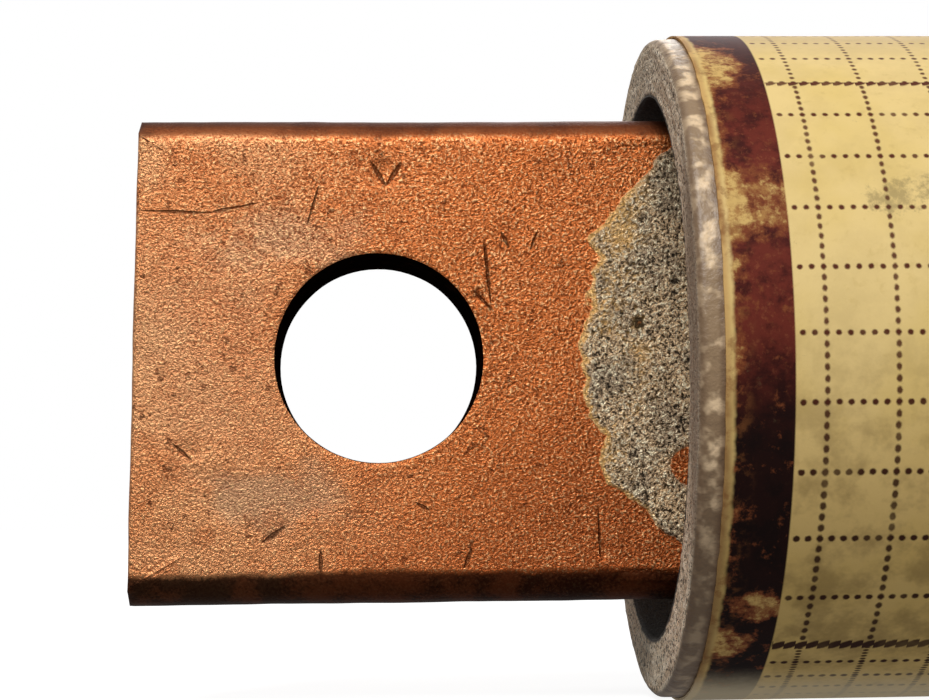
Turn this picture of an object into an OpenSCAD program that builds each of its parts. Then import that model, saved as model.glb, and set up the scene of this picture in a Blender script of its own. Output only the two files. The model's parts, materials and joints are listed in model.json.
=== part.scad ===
// A cartridge fuse with a flat bolted copper blade at each end.
// The fuse's axis is X, the blades' broad faces are turned to -Y and +Y, and +Z is up.
// The origin is the middle of the body, on the tube's axis. All sizes are in millimetres.

/* [Casing tube] */
// Outside diameter of the laminate tube
tube_od = 34.9; // [34:0.1:38]
// Thickness of the tube's wall
tube_wall = 3.1; // [2.6:0.1:3.4]
// Length of the tube
tube_length = 54; // [50:0.5:80]
// Rounding of the tube's two outer edges
tube_edge_r = 0.5; // [0.4:0.1:1.2]

/* [Paper label] */
// Thickness of the label's paper
label_thickness = 0.15; // [0.1:0.01:0.3]
// Distance from the tube's end to the label's edge
label_setback = 1.2; // [1.2:0.1:4]
// Width of the glued seam where the label laps over itself
label_lap = 6; // [3:0.5:10]

/* [Blades] */
// Width of a blade
blade_width = 25.4; // [20:0.1:25.6]
// Thickness of a blade
blade_thickness = 6.35; // [5:0.05:6.4]
// Rounding of a blade's long edges
blade_edge_r = 1.6; // [0.5:0.1:2]
// Rounding of the corners at a blade's free end
blade_corner_r = 0.7; // [0.3:0.1:3]
// Diameter of the bolt hole
bolt_hole_d = 11.1; // [6:0.1:13]
// Distance from the bolt hole's centre to the blade's free end
hole_to_tip = 13; // [8:0.1:20]
// Distance from the bolt hole's centre to the end of the tube
hole_to_tube = 14.3; // [12:0.1:20]
// Height of the blades' centreline above the tube's axis
blade_lift = 0.4; // [0:0.1:0.5]
// Depth of the shallow relief on each face at a blade's root, which the braze runs along
root_relief = 0.05; // [0.02:0.01:0.1]

/* [End bells] */
// Depth of the end bell's outer face inside the tube
bell_recess = 3.5; // [2:0.1:3.9]
// Thickness of an end bell
bell_thickness = 8; // [7:0.5:10]
// Diameter of the pins that hold a bell in the tube
pin_d = 3.2; // [2:0.1:3.4]
// Diameter of the filling hole in the right bell
fill_hole_d = 2.6; // [1.5:0.1:2.8]

/* [Braze] */
// How far the braze runs out of the tube along a blade
braze_reach = 3.4; // [2:0.1:4.5]
// Thickness of the braze where it lies on a blade
braze_thickness = 0.5; // [0.3:0.05:0.9]
// Height of the braze where it climbs the bell
braze_fillet = 2; // [1:0.1:3]

/* [Fuse elements] */
// Width of a punched strip
element_width = 14; // [12:0.5:15]
// Thickness of a punched strip
element_thickness = 0.25; // [0.15:0.05:0.4]
// Diameter of the punched holes
punch_d = 2; // [1.2:0.1:2.2]
// Distance between rows of punched holes
punch_row_pitch = 5; // [4.5:0.1:5.2]
// Distance between neighbouring holes in one row
punch_pitch = 2.8; // [2.5:0.1:2.9]
// Width of the tin overlay bar across a strip
overlay_width = 1.6; // [1:0.1:1.8]
// Thickness of the tin overlay bar
overlay_thickness = 0.35; // [0.2:0.05:0.5]
// Thickness of the fibre gasket inside each bell
gasket_thickness = 0.8; // [0.5:0.1:1.5]

/* [Hidden] */
$fn = 96;

// Gap all round between parts that are pushed together
fit_gap = 0.05;
// Extra length that makes a cutter run clear through
cut_over = 1;
// Straight steps in each quarter of a rounded edge
edge_steps = 6;

tube_r = tube_od / 2;
bore_r = tube_r - tube_wall;
tube_end = tube_length / 2;
label_r = tube_r + 0.02;
label_end = tube_end - label_setback;
// The seam is low on the far side, turned away from both the front and the rest face.
seam_angle = 45;
seam_r = label_r + 1.8 * label_thickness;

bell_outer = tube_end - bell_recess;
bell_inner = bell_outer - bell_thickness;
bell_r = bore_r - fit_gap;
gasket_inner = bell_inner - gasket_thickness;

hole_x = tube_end + hole_to_tube;
blade_tip = hole_x + hole_to_tip;
slot_width = blade_width + 2 * fit_gap;
slot_thickness = blade_thickness + 2 * fit_gap;
relief_end = tube_end + braze_reach + 0.1;
seat_y = blade_thickness / 2 - root_relief;

pin_angles = [45, 135, 225, 315];
pin_x = bell_outer - 3;
pin_outer_r = tube_r - 0.05;
pin_inner_r = bell_r - 5;

// Two strips lie on each side of the blades' plane.
element_y = [-10, -6.1, 6.1, 10];
element_seat = 1.5;
element_end = bell_inner + element_seat - fit_gap;
punch_rows = [-2, -1, 0, 1, 2];
overlay_x = punch_row_pitch / 2;

// The filling hole lies between the seats of the two strips on the far side.
fill_y = (element_y[2] + element_y[3]) / 2;

// Points of a circular arc, from one angle to another
function arc(cx, cy, r, from, to) =
    [for (i = [0 : edge_steps])
        let (a = from + (to - from) * i / edge_steps)
        [cx + r * cos(a), cy + r * sin(a)]];

// Outline of a rectangle with four rounded corners
function rounded_rectangle(w, h, r) = concat(
    arc(w / 2 - r, h / 2 - r, r, 0, 90),
    arc(r - w / 2, h / 2 - r, r, 90, 180),
    arc(r - w / 2, r - h / 2, r, 180, 270),
    arc(w / 2 - r, r - h / 2, r, 270, 360));

// Round bar along X between two stations
module bar_x(from, to, r) {
    translate([from, 0, 0]) rotate([0, 90, 0]) cylinder(h = to - from, r = r);
}

// Block centred on the XZ plane's Y position, between two stations along X
module block(from, to, y, thickness, width, z = 0) {
    translate([from, y - thickness / 2, z - width / 2]) cube([to - from, thickness, width]);
}

// Outline of a layer of the label, between two radii
function label_strip(from_r, to_r) =
    [[from_r, -label_end], [to_r, -label_end], [to_r, label_end], [from_r, label_end]];

// Ring swept round the X axis from an outline of [radius, x] points
module ring_x(outline, sweep = 360) {
    rotate([0, 90, 0]) rotate_extrude(angle = sweep) polygon(outline);
}

module casing_tube() {
    color("tan") difference() {
        ring_x(concat(
            [[bore_r, -tube_end], [tube_r - tube_edge_r, -tube_end]],
            arc(tube_r - tube_edge_r, tube_edge_r - tube_end, tube_edge_r, -90, 0),
            arc(tube_r - tube_edge_r, tube_end - tube_edge_r, tube_edge_r, 0, 90),
            [[bore_r, tube_end]]));
        for (side = [-1, 1], a = pin_angles)
            rotate([a, 0, 0]) translate([side * pin_x, 0, bore_r - cut_over])
                cylinder(h = tube_wall + 2 * cut_over, d = pin_d);
    }
}

// Paper wrapped once round the tube, with a glued seam where its end laps over its start
module paper_label() {
    color("lightgoldenrodyellow") {
        ring_x(label_strip(label_r, label_r + label_thickness));
        rotate([seam_angle, 0, 0])
            ring_x(label_strip(label_r + label_thickness / 2, seam_r), label_lap / label_r * 180 / PI);
    }
}

// Flat bar with rounded long edges and a bolt hole, pushed through the bell's slot
module right_blade() {
    blade_length = blade_tip - bell_inner;
    color("peru") translate([0, 0, blade_lift]) difference() {
        intersection() {
            translate([bell_inner, 0, 0]) rotate([90, 0, 90]) linear_extrude(blade_length)
                polygon(rounded_rectangle(blade_thickness, blade_width, blade_edge_r));
            rotate([90, 0, 0]) linear_extrude(blade_thickness + cut_over, center = true)
                polygon(concat(
                    arc(blade_tip - blade_corner_r, blade_width / 2 - blade_corner_r,
                        blade_corner_r, 90, 0),
                    arc(blade_tip - blade_corner_r, blade_corner_r - blade_width / 2,
                        blade_corner_r, 0, -90),
                    [[bell_inner, -blade_width / 2], [bell_inner, blade_width / 2]]));
        }
        translate([hole_x, 0, 0]) rotate([90, 0, 0])
            cylinder(h = blade_thickness + 2 * cut_over, d = bolt_hole_d, center = true);
        for (side = [-1, 1])
            block(bell_inner - cut_over, relief_end, side * (seat_y + cut_over / 2),
                cut_over, blade_width + cut_over);
    }
}

module left_blade() {
    mirror([1, 0, 0]) right_blade();
}

// Braze on both broad faces of a blade: a thin tongue and a fillet against the bell
module right_braze() {
    tongue_end = tube_end + braze_reach;
    half = blade_width / 2 - blade_edge_r;
    color("gray") for (side = [-1, 1]) translate([0, 0, blade_lift]) {
        translate([0, side * (seat_y + braze_thickness / 2), 0])
            rotate([90, 0, 0]) linear_extrude(braze_thickness, center = true)
                polygon([
                    [bell_outer, -half], [tube_end + 0.5, -0.93 * half], [tube_end + 2, -0.7 * half],
                    [tongue_end, -0.35 * half], [tongue_end, 0.15 * half], [tongue_end - 0.6, 0.55 * half],
                    [tube_end + 1.3, 0.75 * half], [tube_end, 0.95 * half], [bell_outer, half]]);
        translate([0, 0, -half]) linear_extrude(2 * half) polygon([
            [bell_outer, side * seat_y],
            [tube_end, side * seat_y],
            [tube_end, side * (seat_y + braze_thickness)],
            [bell_outer + braze_fillet / 3, side * (seat_y + braze_fillet / 3)],
            [bell_outer, side * (seat_y + braze_fillet)]]);
    }
}

module left_braze() {
    mirror([1, 0, 0]) right_braze();
}

// Brass disc with the blade's slot, four pin holes and seats for the strips
module end_bell() {
    color("darkkhaki") difference() {
        bar_x(bell_inner, bell_outer, bell_r);
        block(bell_inner - cut_over, bell_outer + cut_over, 0, slot_thickness, slot_width, blade_lift);
        for (a = pin_angles)
            rotate([a, 0, 0]) translate([pin_x, 0, pin_inner_r])
                cylinder(h = bore_r, d = pin_d);
        for (y = element_y)
            block(bell_inner - cut_over, bell_inner + element_seat, y,
                element_thickness + 2 * fit_gap, element_width + 2 * fit_gap);
    }
}

module right_end_bell() {
    color("darkkhaki") difference() {
        end_bell();
        translate([0, fill_y, 0])
            bar_x(bell_inner - cut_over, bell_outer + cut_over, fill_hole_d / 2);
    }
}

module left_end_bell() {
    mirror([1, 0, 0]) end_bell();
}

module right_retaining_pins() {
    color("silver") for (a = pin_angles)
        rotate([a, 0, 0]) translate([pin_x, 0, pin_inner_r + fit_gap])
            cylinder(h = pin_outer_r - pin_inner_r - fit_gap, d = pin_d - 0.04);
}

module left_retaining_pins() {
    mirror([1, 0, 0]) right_retaining_pins();
}

// Fibre washer that keeps the sand off the bell, slotted for the strips
module gasket() {
    color("saddlebrown") difference() {
        bar_x(gasket_inner, bell_inner, bell_r);
        for (y = element_y)
            block(gasket_inner - cut_over, bell_inner + cut_over, y,
                element_thickness + 2 * fit_gap, element_width + 2 * fit_gap);
    }
}

module right_gasket() {
    color("saddlebrown") difference() {
        gasket();
        translate([0, fill_y, 0])
            bar_x(gasket_inner - cut_over, bell_inner + cut_over, fill_hole_d / 2);
    }
}

module left_gasket() {
    mirror([1, 0, 0]) gasket();
}

// Thin strip with rows of punched holes that leave narrow necks to melt
module element(index) {
    color("gainsboro") difference() {
        block(-element_end, element_end, element_y[index], element_thickness, element_width);
        for (row = punch_rows, hole = [-2 : 2])
            translate([row * punch_row_pitch, element_y[index], hole * punch_pitch])
                rotate([90, 0, 0])
                    cylinder(h = element_thickness + cut_over, d = punch_d, center = true);
    }
}

// Tin bar soldered across a strip, on the side that faces the tube's wall
module tin_overlay(index) {
    y = element_y[index];
    color("lightsteelblue")
        block(overlay_x - overlay_width / 2, overlay_x + overlay_width / 2,
            y + sign(y) * (element_thickness + overlay_thickness) / 2,
            overlay_thickness, element_width);
}

module element_1() { element(0); }
module element_2() { element(1); }
module element_3() { element(2); }
module element_4() { element(3); }

module tin_overlay_1() { tin_overlay(0); }
module tin_overlay_2() { tin_overlay(1); }
module tin_overlay_3() { tin_overlay(2); }
module tin_overlay_4() { tin_overlay(3); }

// Packed quartz sand that fills the tube round the strips
module sand_filler() {
    color("wheat") difference() {
        bar_x(fit_gap - gasket_inner, gasket_inner - fit_gap, bell_r);
        for (y = element_y) {
            block(-gasket_inner - cut_over, gasket_inner + cut_over, y,
                element_thickness + 2 * fit_gap, element_width + 2 * fit_gap);
            block(overlay_x - overlay_width / 2 - fit_gap, overlay_x + overlay_width / 2 + fit_gap,
                y + sign(y) * (element_thickness + overlay_thickness) / 2,
                overlay_thickness + 2 * fit_gap, element_width + 2 * fit_gap);
        }
    }
}

module fill_plug() {
    color("dimgray") translate([0, fill_y, 0])
        bar_x(gasket_inner + fit_gap, bell_outer - fit_gap, fill_hole_d / 2 - 0.02);
}

casing_tube();
paper_label();
left_blade();
right_blade();
left_braze();
right_braze();
left_end_bell();
right_end_bell();
left_retaining_pins();
right_retaining_pins();
left_gasket();
right_gasket();
element_1();
element_2();
element_3();
element_4();
tin_overlay_1();
tin_overlay_2();
tin_overlay_3();
tin_overlay_4();
sand_filler();
fill_plug();
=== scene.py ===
import json
import math

import bmesh
import bpy
from mathutils import Matrix, Vector, noise


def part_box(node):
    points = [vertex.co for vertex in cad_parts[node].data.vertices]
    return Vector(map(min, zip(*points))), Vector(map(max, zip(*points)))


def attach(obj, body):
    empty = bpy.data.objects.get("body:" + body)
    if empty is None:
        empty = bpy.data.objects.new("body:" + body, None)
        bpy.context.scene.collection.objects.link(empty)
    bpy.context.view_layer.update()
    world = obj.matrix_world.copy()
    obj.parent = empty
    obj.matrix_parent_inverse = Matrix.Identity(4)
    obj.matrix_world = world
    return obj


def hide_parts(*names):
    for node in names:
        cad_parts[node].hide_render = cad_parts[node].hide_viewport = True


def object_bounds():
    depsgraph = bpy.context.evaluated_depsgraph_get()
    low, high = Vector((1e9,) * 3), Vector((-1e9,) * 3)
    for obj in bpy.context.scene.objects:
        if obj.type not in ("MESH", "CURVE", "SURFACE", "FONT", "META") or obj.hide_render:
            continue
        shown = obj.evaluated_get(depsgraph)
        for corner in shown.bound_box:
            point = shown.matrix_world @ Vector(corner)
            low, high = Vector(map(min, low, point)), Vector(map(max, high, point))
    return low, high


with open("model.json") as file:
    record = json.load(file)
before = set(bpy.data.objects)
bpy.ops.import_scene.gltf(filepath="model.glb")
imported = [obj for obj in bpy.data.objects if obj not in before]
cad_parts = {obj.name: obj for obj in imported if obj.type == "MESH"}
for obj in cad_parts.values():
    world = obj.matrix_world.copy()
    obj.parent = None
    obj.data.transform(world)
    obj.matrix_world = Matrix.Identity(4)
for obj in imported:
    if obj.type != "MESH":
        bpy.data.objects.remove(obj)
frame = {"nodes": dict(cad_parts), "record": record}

cad_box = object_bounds()

# ---- Blades ----
# Two flat bars of 1/4 by 1 inch copper, sheared to length and tumbled, with rounded long edges and a
# punched bolt hole. Handling and tarnish have left dents, scratches and grey stains; the top edge is darker
# brown, and painted shade darkens the bottom edge.

MM = 0.001
BLADE_EDGE_ROUND = 1.6 * MM
BLADE_TIP_BREAK = 0.25 * MM
BLADE_HOLE_BREAK = 0.15 * MM
BLADE_HOLE_ROLL = 0.15 * MM
BLADE_RIM_BAND = 0.4 * MM
BLADE_RINGS = 7
BLADE_FIRST_RING = 0.7
BLADE_STEPS = 24
BLADE_MESH_STEP = 0.3 * MM
BLADE_SHEAR = 0.0225
BLADE_TIP_WAVE = 0.05 * MM
BLADE_TIP_WORN = 1.5 * MM
BLADE_TIP_WAVES_PER_M = Vector((0, 150, 330))
BLADE_WORN = 0.03 * MM
BLADE_RIM_ZONE = 1.01
BLADE_BORE_ZONE = 1.03
BLADE_TOP_DARK = (11.35, 11.95)
BLADE_TOP_BLACK = (12.1, 12.6)
# How far below the hole's centre, in millimetres, painted shade starts on the rounded bottom edge.
BLADE_LOW_SHADE = (10.95, 11.3)

# A point is at a limit from NEARLY of the way to it, an edge is sharp past SHARP radians, and points
# nearer than TINY metres are one.
NEARLY = 0.999
SHARP = 1.3
TINY = 1e-7

# Waves and ripples of the faces: how many fit in a metre, and how high they are.
BLADE_WAVES = [(160, 0.05 * MM), (700, 0.018 * MM)]

# Dents in the left blade's front: place along and up from the hole, squeeze along and up, size, depth.
BLADE_DENTS = [
    (0.45, 9.7, 1.0, 0.9, 1.0, 0.16),
    (5.3, 3.1, 1.0, 1.0, 0.5, 0.15),
    (-9.9, -4.7, 0.6, 1.0, 0.7, 0.08),
]

# Scratches in the same face: both ends, along and up from the hole, and the width.
BLADE_SCRATCHES = [
    (-3.0, 9.0, -3.6, 7.0, 0.22),
    (5.6, 6.0, 5.9, 2.7, 0.2),
    (8.4, 6.6, 8.0, 5.6, 0.2),
    (6.5, 6.5, 6.9, 5.7, 0.2),
    (5.0, 3.5, 6.0, 2.4, 0.26),
    (-6.0, -9.5, -4.8, -8.65, 0.25),
    (-3.0, -9.9, -3.0, -11.4, 0.18),
    (4.75, -9.9, 4.35, -10.9, 0.18),
    (-12.3, 7.75, -8.6, 7.6, 0.2),
    (-8.8, 7.6, -6.2, 8.1, 0.16),
    (11.3, -7.6, 11.4, -10.7, 0.16),
    (-10.6, -4.3, -9.6, -5.2, 0.2),
    (-0.3, 10.3, 0.5, 9.0, 0.26),
    (0.5, 9.0, 1.3, 10.2, 0.26),
    (1.9, -7.5, 2.6, -7.9, 0.18),
]

# Grey stains on the same face: place and half size along and up, unevenness, fade, and strength.
BLADE_STAINS = [
    (-4.5, 3.6, 6.3, 1.9, 2.6, (1.5, 2.7), 0.8),
    (-6, 3.8, -7.2, 1.8, 2.6, (1.5, 2.7), 1.0),
    (-9, 5, 1, 6, 1.6, (1.2, 2.2), 0.35),
]

bolt_holes = {m["name"]: m for m in frame["record"]["mounts"] if m["kind"] == "bore"}
left_hole_x, _, left_hole_z = (c / MM for c in bolt_holes["left_bolt_hole"]["pos_m"])


class Wire:
    """One value in a finish, so that a pattern is written as a sum."""

    def __init__(self, finish, socket):
        self.finish = finish
        self.socket = socket

    def math(self, operation, *others):
        values = dict(enumerate((self,) + others))
        return self.finish.node("ShaderNodeMath", {"operation": operation}, values)

    def __add__(self, other):
        return self.math("ADD", other)

    def __radd__(self, other):
        return self.math("ADD", other)

    def __sub__(self, other):
        return self.math("SUBTRACT", other)

    def __rsub__(self, other):
        return self.finish.node("ShaderNodeMath", {"operation": "SUBTRACT"}, {0: other, 1: self})

    def __mul__(self, other):
        return self.math("MULTIPLY", other)

    def __rmul__(self, other):
        return self.math("MULTIPLY", other)

    def __truediv__(self, other):
        return self.math("DIVIDE", other)

    def __pow__(self, other):
        return self.math("POWER", other)

    def __abs__(self):
        return self.math("ABSOLUTE")

    def near(self, start, end):
        """1 below start, 0 above end, and smooth between them."""
        return self.step(start, end, 1.0, 0.0)

    def past(self, start, end):
        """0 below start, 1 above end, and smooth between them."""
        return self.step(start, end, 0.0, 1.0)

    def step(self, start, end, low, high):
        return self.finish.node(
            "ShaderNodeMapRange",
            {"interpolation_type": "SMOOTHSTEP", "clamp": True},
            {"Value": self, "From Min": start, "From Max": end, "To Min": low, "To Max": high},
        )


class Finish:
    """A material, or the surround, with patterns in millimetres on the object's own coordinates."""

    def __init__(self, name, kind=bpy.data.materials):
        self.owner = kind.new(name)
        self.owner.use_nodes = True
        self.tree = self.owner.node_tree
        self.tree.nodes.clear()
        place = self.node("ShaderNodeTexCoord", output="Object")
        self.place = self.node("ShaderNodeVectorMath", {"operation": "SCALE"}, {0: place, "Scale": 1 / MM})
        self.x = self.node("ShaderNodeSeparateXYZ", {}, {0: self.place})
        self.y, self.z = (Wire(self, self.x.socket.node.outputs[axis]) for axis in (1, 2))

    def node(self, kind, settings=None, inputs=None, output=0):
        """Any node: its settings are made first, then its sockets are given values or links."""
        node = self.tree.nodes.new(kind)
        for key, value in (settings or {}).items():
            setattr(node, key, value)
        for key, value in (inputs or {}).items():
            if isinstance(value, Wire):
                self.tree.links.new(value.socket, node.inputs[key])
            else:
                node.inputs[key].default_value = value
        return Wire(self, node.outputs[output]) if node.outputs else None

    def grain(self, size, detail=2.0, rough=0.5, place=None, warp=0.0):
        """Noise from 0 to 1 whose lumps are about size millimetres across."""
        return self.node(
            "ShaderNodeTexNoise",
            {},
            {"Vector": place or self.place, "Scale": 1 / size, "Detail": detail, "Roughness": rough,
             "Distortion": warp},
        )

    def cells(self, size, output="Distance"):
        """The nearest of a scatter of points about size millimetres apart: how far it is, or its tint."""
        return self.node("ShaderNodeTexVoronoi", {"feature": "F1"},
                         {"Vector": self.place, "Scale": 1 / size}, output=output)

    def vector(self, x, y, z):
        return self.node("ShaderNodeCombineXYZ", {}, {0: x, 1: y, 2: z})

    def mix(self, amount, first, second):
        """Two colours blended by an amount from 0 to 1."""
        first = first if isinstance(first, Wire) else (*first, 1.0)
        second = second if isinstance(second, Wire) else (*second, 1.0)
        return self.node(
            "ShaderNodeMix", {"data_type": "RGBA", "clamp_factor": True},
            {"Factor": amount, 6: first, 7: second}, output=2,
        )

    def coats(self, color, *coats):
        """A colour with others laid over it in turn, each by an amount from 0 to 1."""
        for amount, over in coats:
            color = self.mix(amount, color, over)
        return color

    def bump(self, height, depth, strength):
        """A normal from a height of 0 to 1 that stands for depth millimetres."""
        values = {"Height": height, "Distance": depth * MM, "Strength": strength}
        return self.node("ShaderNodeBump", {}, values)

    def surface(self, **values):
        """The finished material, from the shader's values, whose sockets are named in words."""
        sockets = {key.replace("_", " ").title().replace("Ior", "IOR"): values[key] for key in values}
        shader = self.node("ShaderNodeBsdfPrincipled", {}, sockets)
        self.node("ShaderNodeOutputMaterial", {}, {"Surface": shader})
        return self.owner


def paint(red, green, blue):
    """A colour given as 0 to 255 on a screen, as the linear values a shader takes."""
    return tuple(((c / 255 + 0.055) / 1.055) ** 2.4 if c > 10 else c / 255 / 12.92
                 for c in (red, green, blue))


def add_piece(name, bm, finish, crease):
    """Makes the mesh a named piece that rides on the fuse's one body, smooth up to crease degrees."""
    mesh = bpy.data.meshes.new(name)
    bm.to_mesh(mesh)
    bm.free()
    mesh.materials.append(finish)
    mesh.shade_smooth()
    mesh.set_sharp_from_angle(angle=math.radians(crease))
    piece = bpy.data.objects.new(name, mesh)
    bpy.context.scene.collection.objects.link(piece)
    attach(piece, "root")
    return piece


def points(geom):
    """The points among what an operator made."""
    return [g for g in geom if isinstance(g, bmesh.types.BMVert)]


def refine(bm, step):
    """Splits edges in two, the longest first, until few are longer than step."""
    longest = max(edge.calc_length() for edge in bm.edges)
    while longest > step:
        longest = max(step, longest / 2)
        edges = [edge for edge in bm.edges if edge.calc_length() > longest]
        bmesh.ops.subdivide_edges(bm, edges=edges, cuts=1, use_grid_fill=True)


def dent(x, z, size):
    """How deep a round dent at the origin is at a point, from 1 at its middle to 0 at its rim."""
    return max(0.0, 1 - (x * x + z * z) / (size * size)) ** 2


def dents(places, x, z):
    """How deep a row of dents is at a point, in millimetres like the point itself."""
    return sum(depth * dent((x - mid_x) * thin, (z - mid_z) * flat, size)
               for mid_x, mid_z, thin, flat, size, depth in places)


def waves(point, sizes):
    """Smooth noise at a point, from waves given by how many fit in a metre and how high they are."""
    return sum(noise.noise(point * per_m) * height for per_m, height in sizes)


def ramp(value, start, end):
    """0 before start, 1 after end and smooth between them."""
    t = min(max((value - start) / (end - start), 0.0), 1.0)
    return t * t * (3 - 2 * t)


def blade_mesh(node, hole, hole_r, side):
    low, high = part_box(node)
    half_width = (high.z - low.z) / 2
    thickness = high.y - low.y
    tip = abs(low.x) if side < 0 else high.x
    root = abs(high.x) if side < 0 else low.x
    reach = tip - abs(hole.x)
    brink = half_width * NEARLY

    # A square's outline is drawn in ring by ring to the hole, and out on one side to the root.
    bm = bmesh.new()
    bmesh.ops.create_grid(bm, x_segments=BLADE_STEPS, y_segments=BLADE_STEPS, size=half_width)
    bmesh.ops.delete(bm, geom=[v for v in bm.verts if not v.is_boundary], context="VERTS")
    loose = [e for e in bm.edges if max(abs(v.co.x) for v in e.verts) < brink
             and max(abs(v.co.y) for v in e.verts) < brink]
    bmesh.ops.delete(bm, geom=loose, context="EDGES_FACES")
    loop = list(bm.edges)
    rim = hole_r + BLADE_RIM_BAND
    for number in range(BLADE_RINGS):
        ring = points(bmesh.ops.extrude_edge_only(bm, edges=loop)["geom"])
        share = BLADE_FIRST_RING * (1 - number / (BLADE_RINGS - 2))
        for v in ring:
            out = v.co.normalized()
            corner = half_width / max(abs(out.x), abs(out.y))
            v.co = out * (hole_r if number == BLADE_RINGS - 1 else rim + (corner - rim) * share)
        loop = [e for e in bm.edges if e.verts[0] in ring and e.verts[1] in ring]
    inner = [e for e in bm.edges if all(v.co.x > brink for v in e.verts)]
    drawn = points(bmesh.ops.extrude_edge_only(bm, edges=inner)["geom"])
    bmesh.ops.translate(bm, verts=drawn, vec=(abs(hole.x) - root - half_width, 0, 0))
    tip_verts = [v for v in bm.verts if v.co.x < -brink]
    bmesh.ops.translate(bm, verts=tip_verts, vec=(half_width - reach, 0, 0))

    # The sheet gets its thickness, its long edges are rounded and its sharp edges are broken.
    thick = points(bmesh.ops.extrude_face_region(bm, geom=list(bm.faces))["geom"])
    bmesh.ops.translate(bm, verts=thick, vec=(0, 0, thickness))
    bmesh.ops.recalc_face_normals(bm, faces=bm.faces)
    long_edges = [e for e in bm.edges
                  if all(abs(v.co.y) > brink for v in e.verts)
                  and abs(e.verts[0].co.z - e.verts[1].co.z) < TINY]
    bmesh.ops.bevel(bm, geom=long_edges, offset=BLADE_EDGE_ROUND, segments=6, profile=0.5,
                    affect="EDGES", material=-1)
    rims = [e for e in bm.edges
            if len(e.link_faces) == 2 and e.calc_face_angle(0) > SHARP
            and all(v.co.xy.length < hole_r * BLADE_RIM_ZONE for v in e.verts)]
    bmesh.ops.bevel(bm, geom=rims, offset=BLADE_HOLE_BREAK, segments=2, profile=0.5,
                    affect="EDGES", material=-1)
    ends = [e for e in bm.edges
            if len(e.link_faces) == 2 and e.calc_face_angle(0) > SHARP
            and all(v.co.x < 0.1 * MM - reach for v in e.verts)]
    bmesh.ops.bevel(bm, geom=ends, offset=BLADE_TIP_BREAK, segments=3, profile=0.5,
                    affect="EDGES", material=-1)
    bmesh.ops.triangulate(bm, faces=[f for f in bm.faces if len(f.verts) > 4])
    refine(bm, BLADE_MESH_STEP)
    bmesh.ops.triangulate(bm, faces=[f for f in bm.faces if len(f.verts) > 4])

    # It stands up with its faces to the front and the back, and its tip to its own side.
    turn = Matrix(((1, 0, 0, 0), (0, 0, 1, 0), (0, 1, 0, 0), (0, 0, 0, 1)))
    bmesh.ops.transform(bm, matrix=turn, verts=bm.verts)
    bmesh.ops.translate(bm, verts=bm.verts, vec=(-abs(hole.x), -thickness / 2, hole.z))
    if side > 0:
        bmesh.ops.scale(bm, vec=(-1, 1, 1), verts=bm.verts)
    bmesh.ops.recalc_face_normals(bm, faces=bm.faces)
    bm.normal_update()

    # The shears left the tip slightly out of square, and tumbling left waves, ripples and dents.
    moves = []
    for v in bm.verts:
        across = v.co.z - hole.z
        out = abs(v.co.x) - abs(hole.x)
        hit = dents(BLADE_DENTS, -out / MM, across / MM) * MM if side < 0 and v.co.y < 0 else 0.0
        skew = BLADE_SHEAR * (across + half_width) * max(0.0, out / reach)
        notch = BLADE_TIP_WAVE * (1 + noise.noise(v.co * BLADE_TIP_WAVES_PER_M))
        short = skew + notch * ramp(out, reach - BLADE_TIP_WORN, reach)
        rise = waves(v.co, BLADE_WAVES) - BLADE_WORN - hit
        moves.append(v.normal * rise - Vector((side * short, 0, 0)))
    for v, move in zip(bm.verts, moves):
        v.co += move
    return bm


def from_hole(finish):
    """Where a point is from the bolt hole's centre, along the blade towards the tube, and upwards."""
    return abs(left_hole_x) - abs(finish.x), finish.z - left_hole_z


def left_front(finish):
    """1 on the front of the left end, which has marks of its own, and 0 elsewhere."""
    return finish.x.near(-1, 1) * finish.y.near(-1, 1)


copper = Finish("tarnished_copper")
from_hole_x, from_hole_z = from_hole(copper)
shown = left_front(copper)
broad = copper.grain(7, 3, 0.55)
patchy = copper.grain(2.2, 4, 0.6)
cloud = copper.grain(1.7, 3, 0.6)
pit = copper.grain(0.55, 2, 0.6)
dirt = copper.grain(0.42, 3, 0.7)
worm = copper.grain(0.15, 2, 0.6, warp=0.5)
fine = copper.grain(0.09, 2, 0.7)


def stained(x, x_size, z, z_size, uneven, fade, strength):
    """How grey an oval stain on a blade's face is, fading out unevenly past its rim."""
    u = (from_hole_x - x) / x_size
    w = (from_hole_z - z) / z_size
    return ((u * u + w * w) ** 0.5 + patchy * uneven).near(*fade) * strength


def scratch(x1, z1, x2, z2, width):
    """1 along a straight scratch on a blade's face, which thins out towards its ends."""
    length = math.hypot(x2 - x1, z2 - z1)
    ux, uz = (x2 - x1) / length, (z2 - z1) / length
    dx = from_hole_x - (x1 + x2) / 2
    dz = from_hole_z - (z1 + z2) / 2
    run = abs(dx * ux + dz * uz) / (length / 2)
    aside = abs(dx * uz - dz * ux) + run * width * 0.3 + (patchy - 0.5) * 0.25
    return aside.near(width * 0.2, width * 0.6) * run.near(0.8, 1.1)


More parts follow.
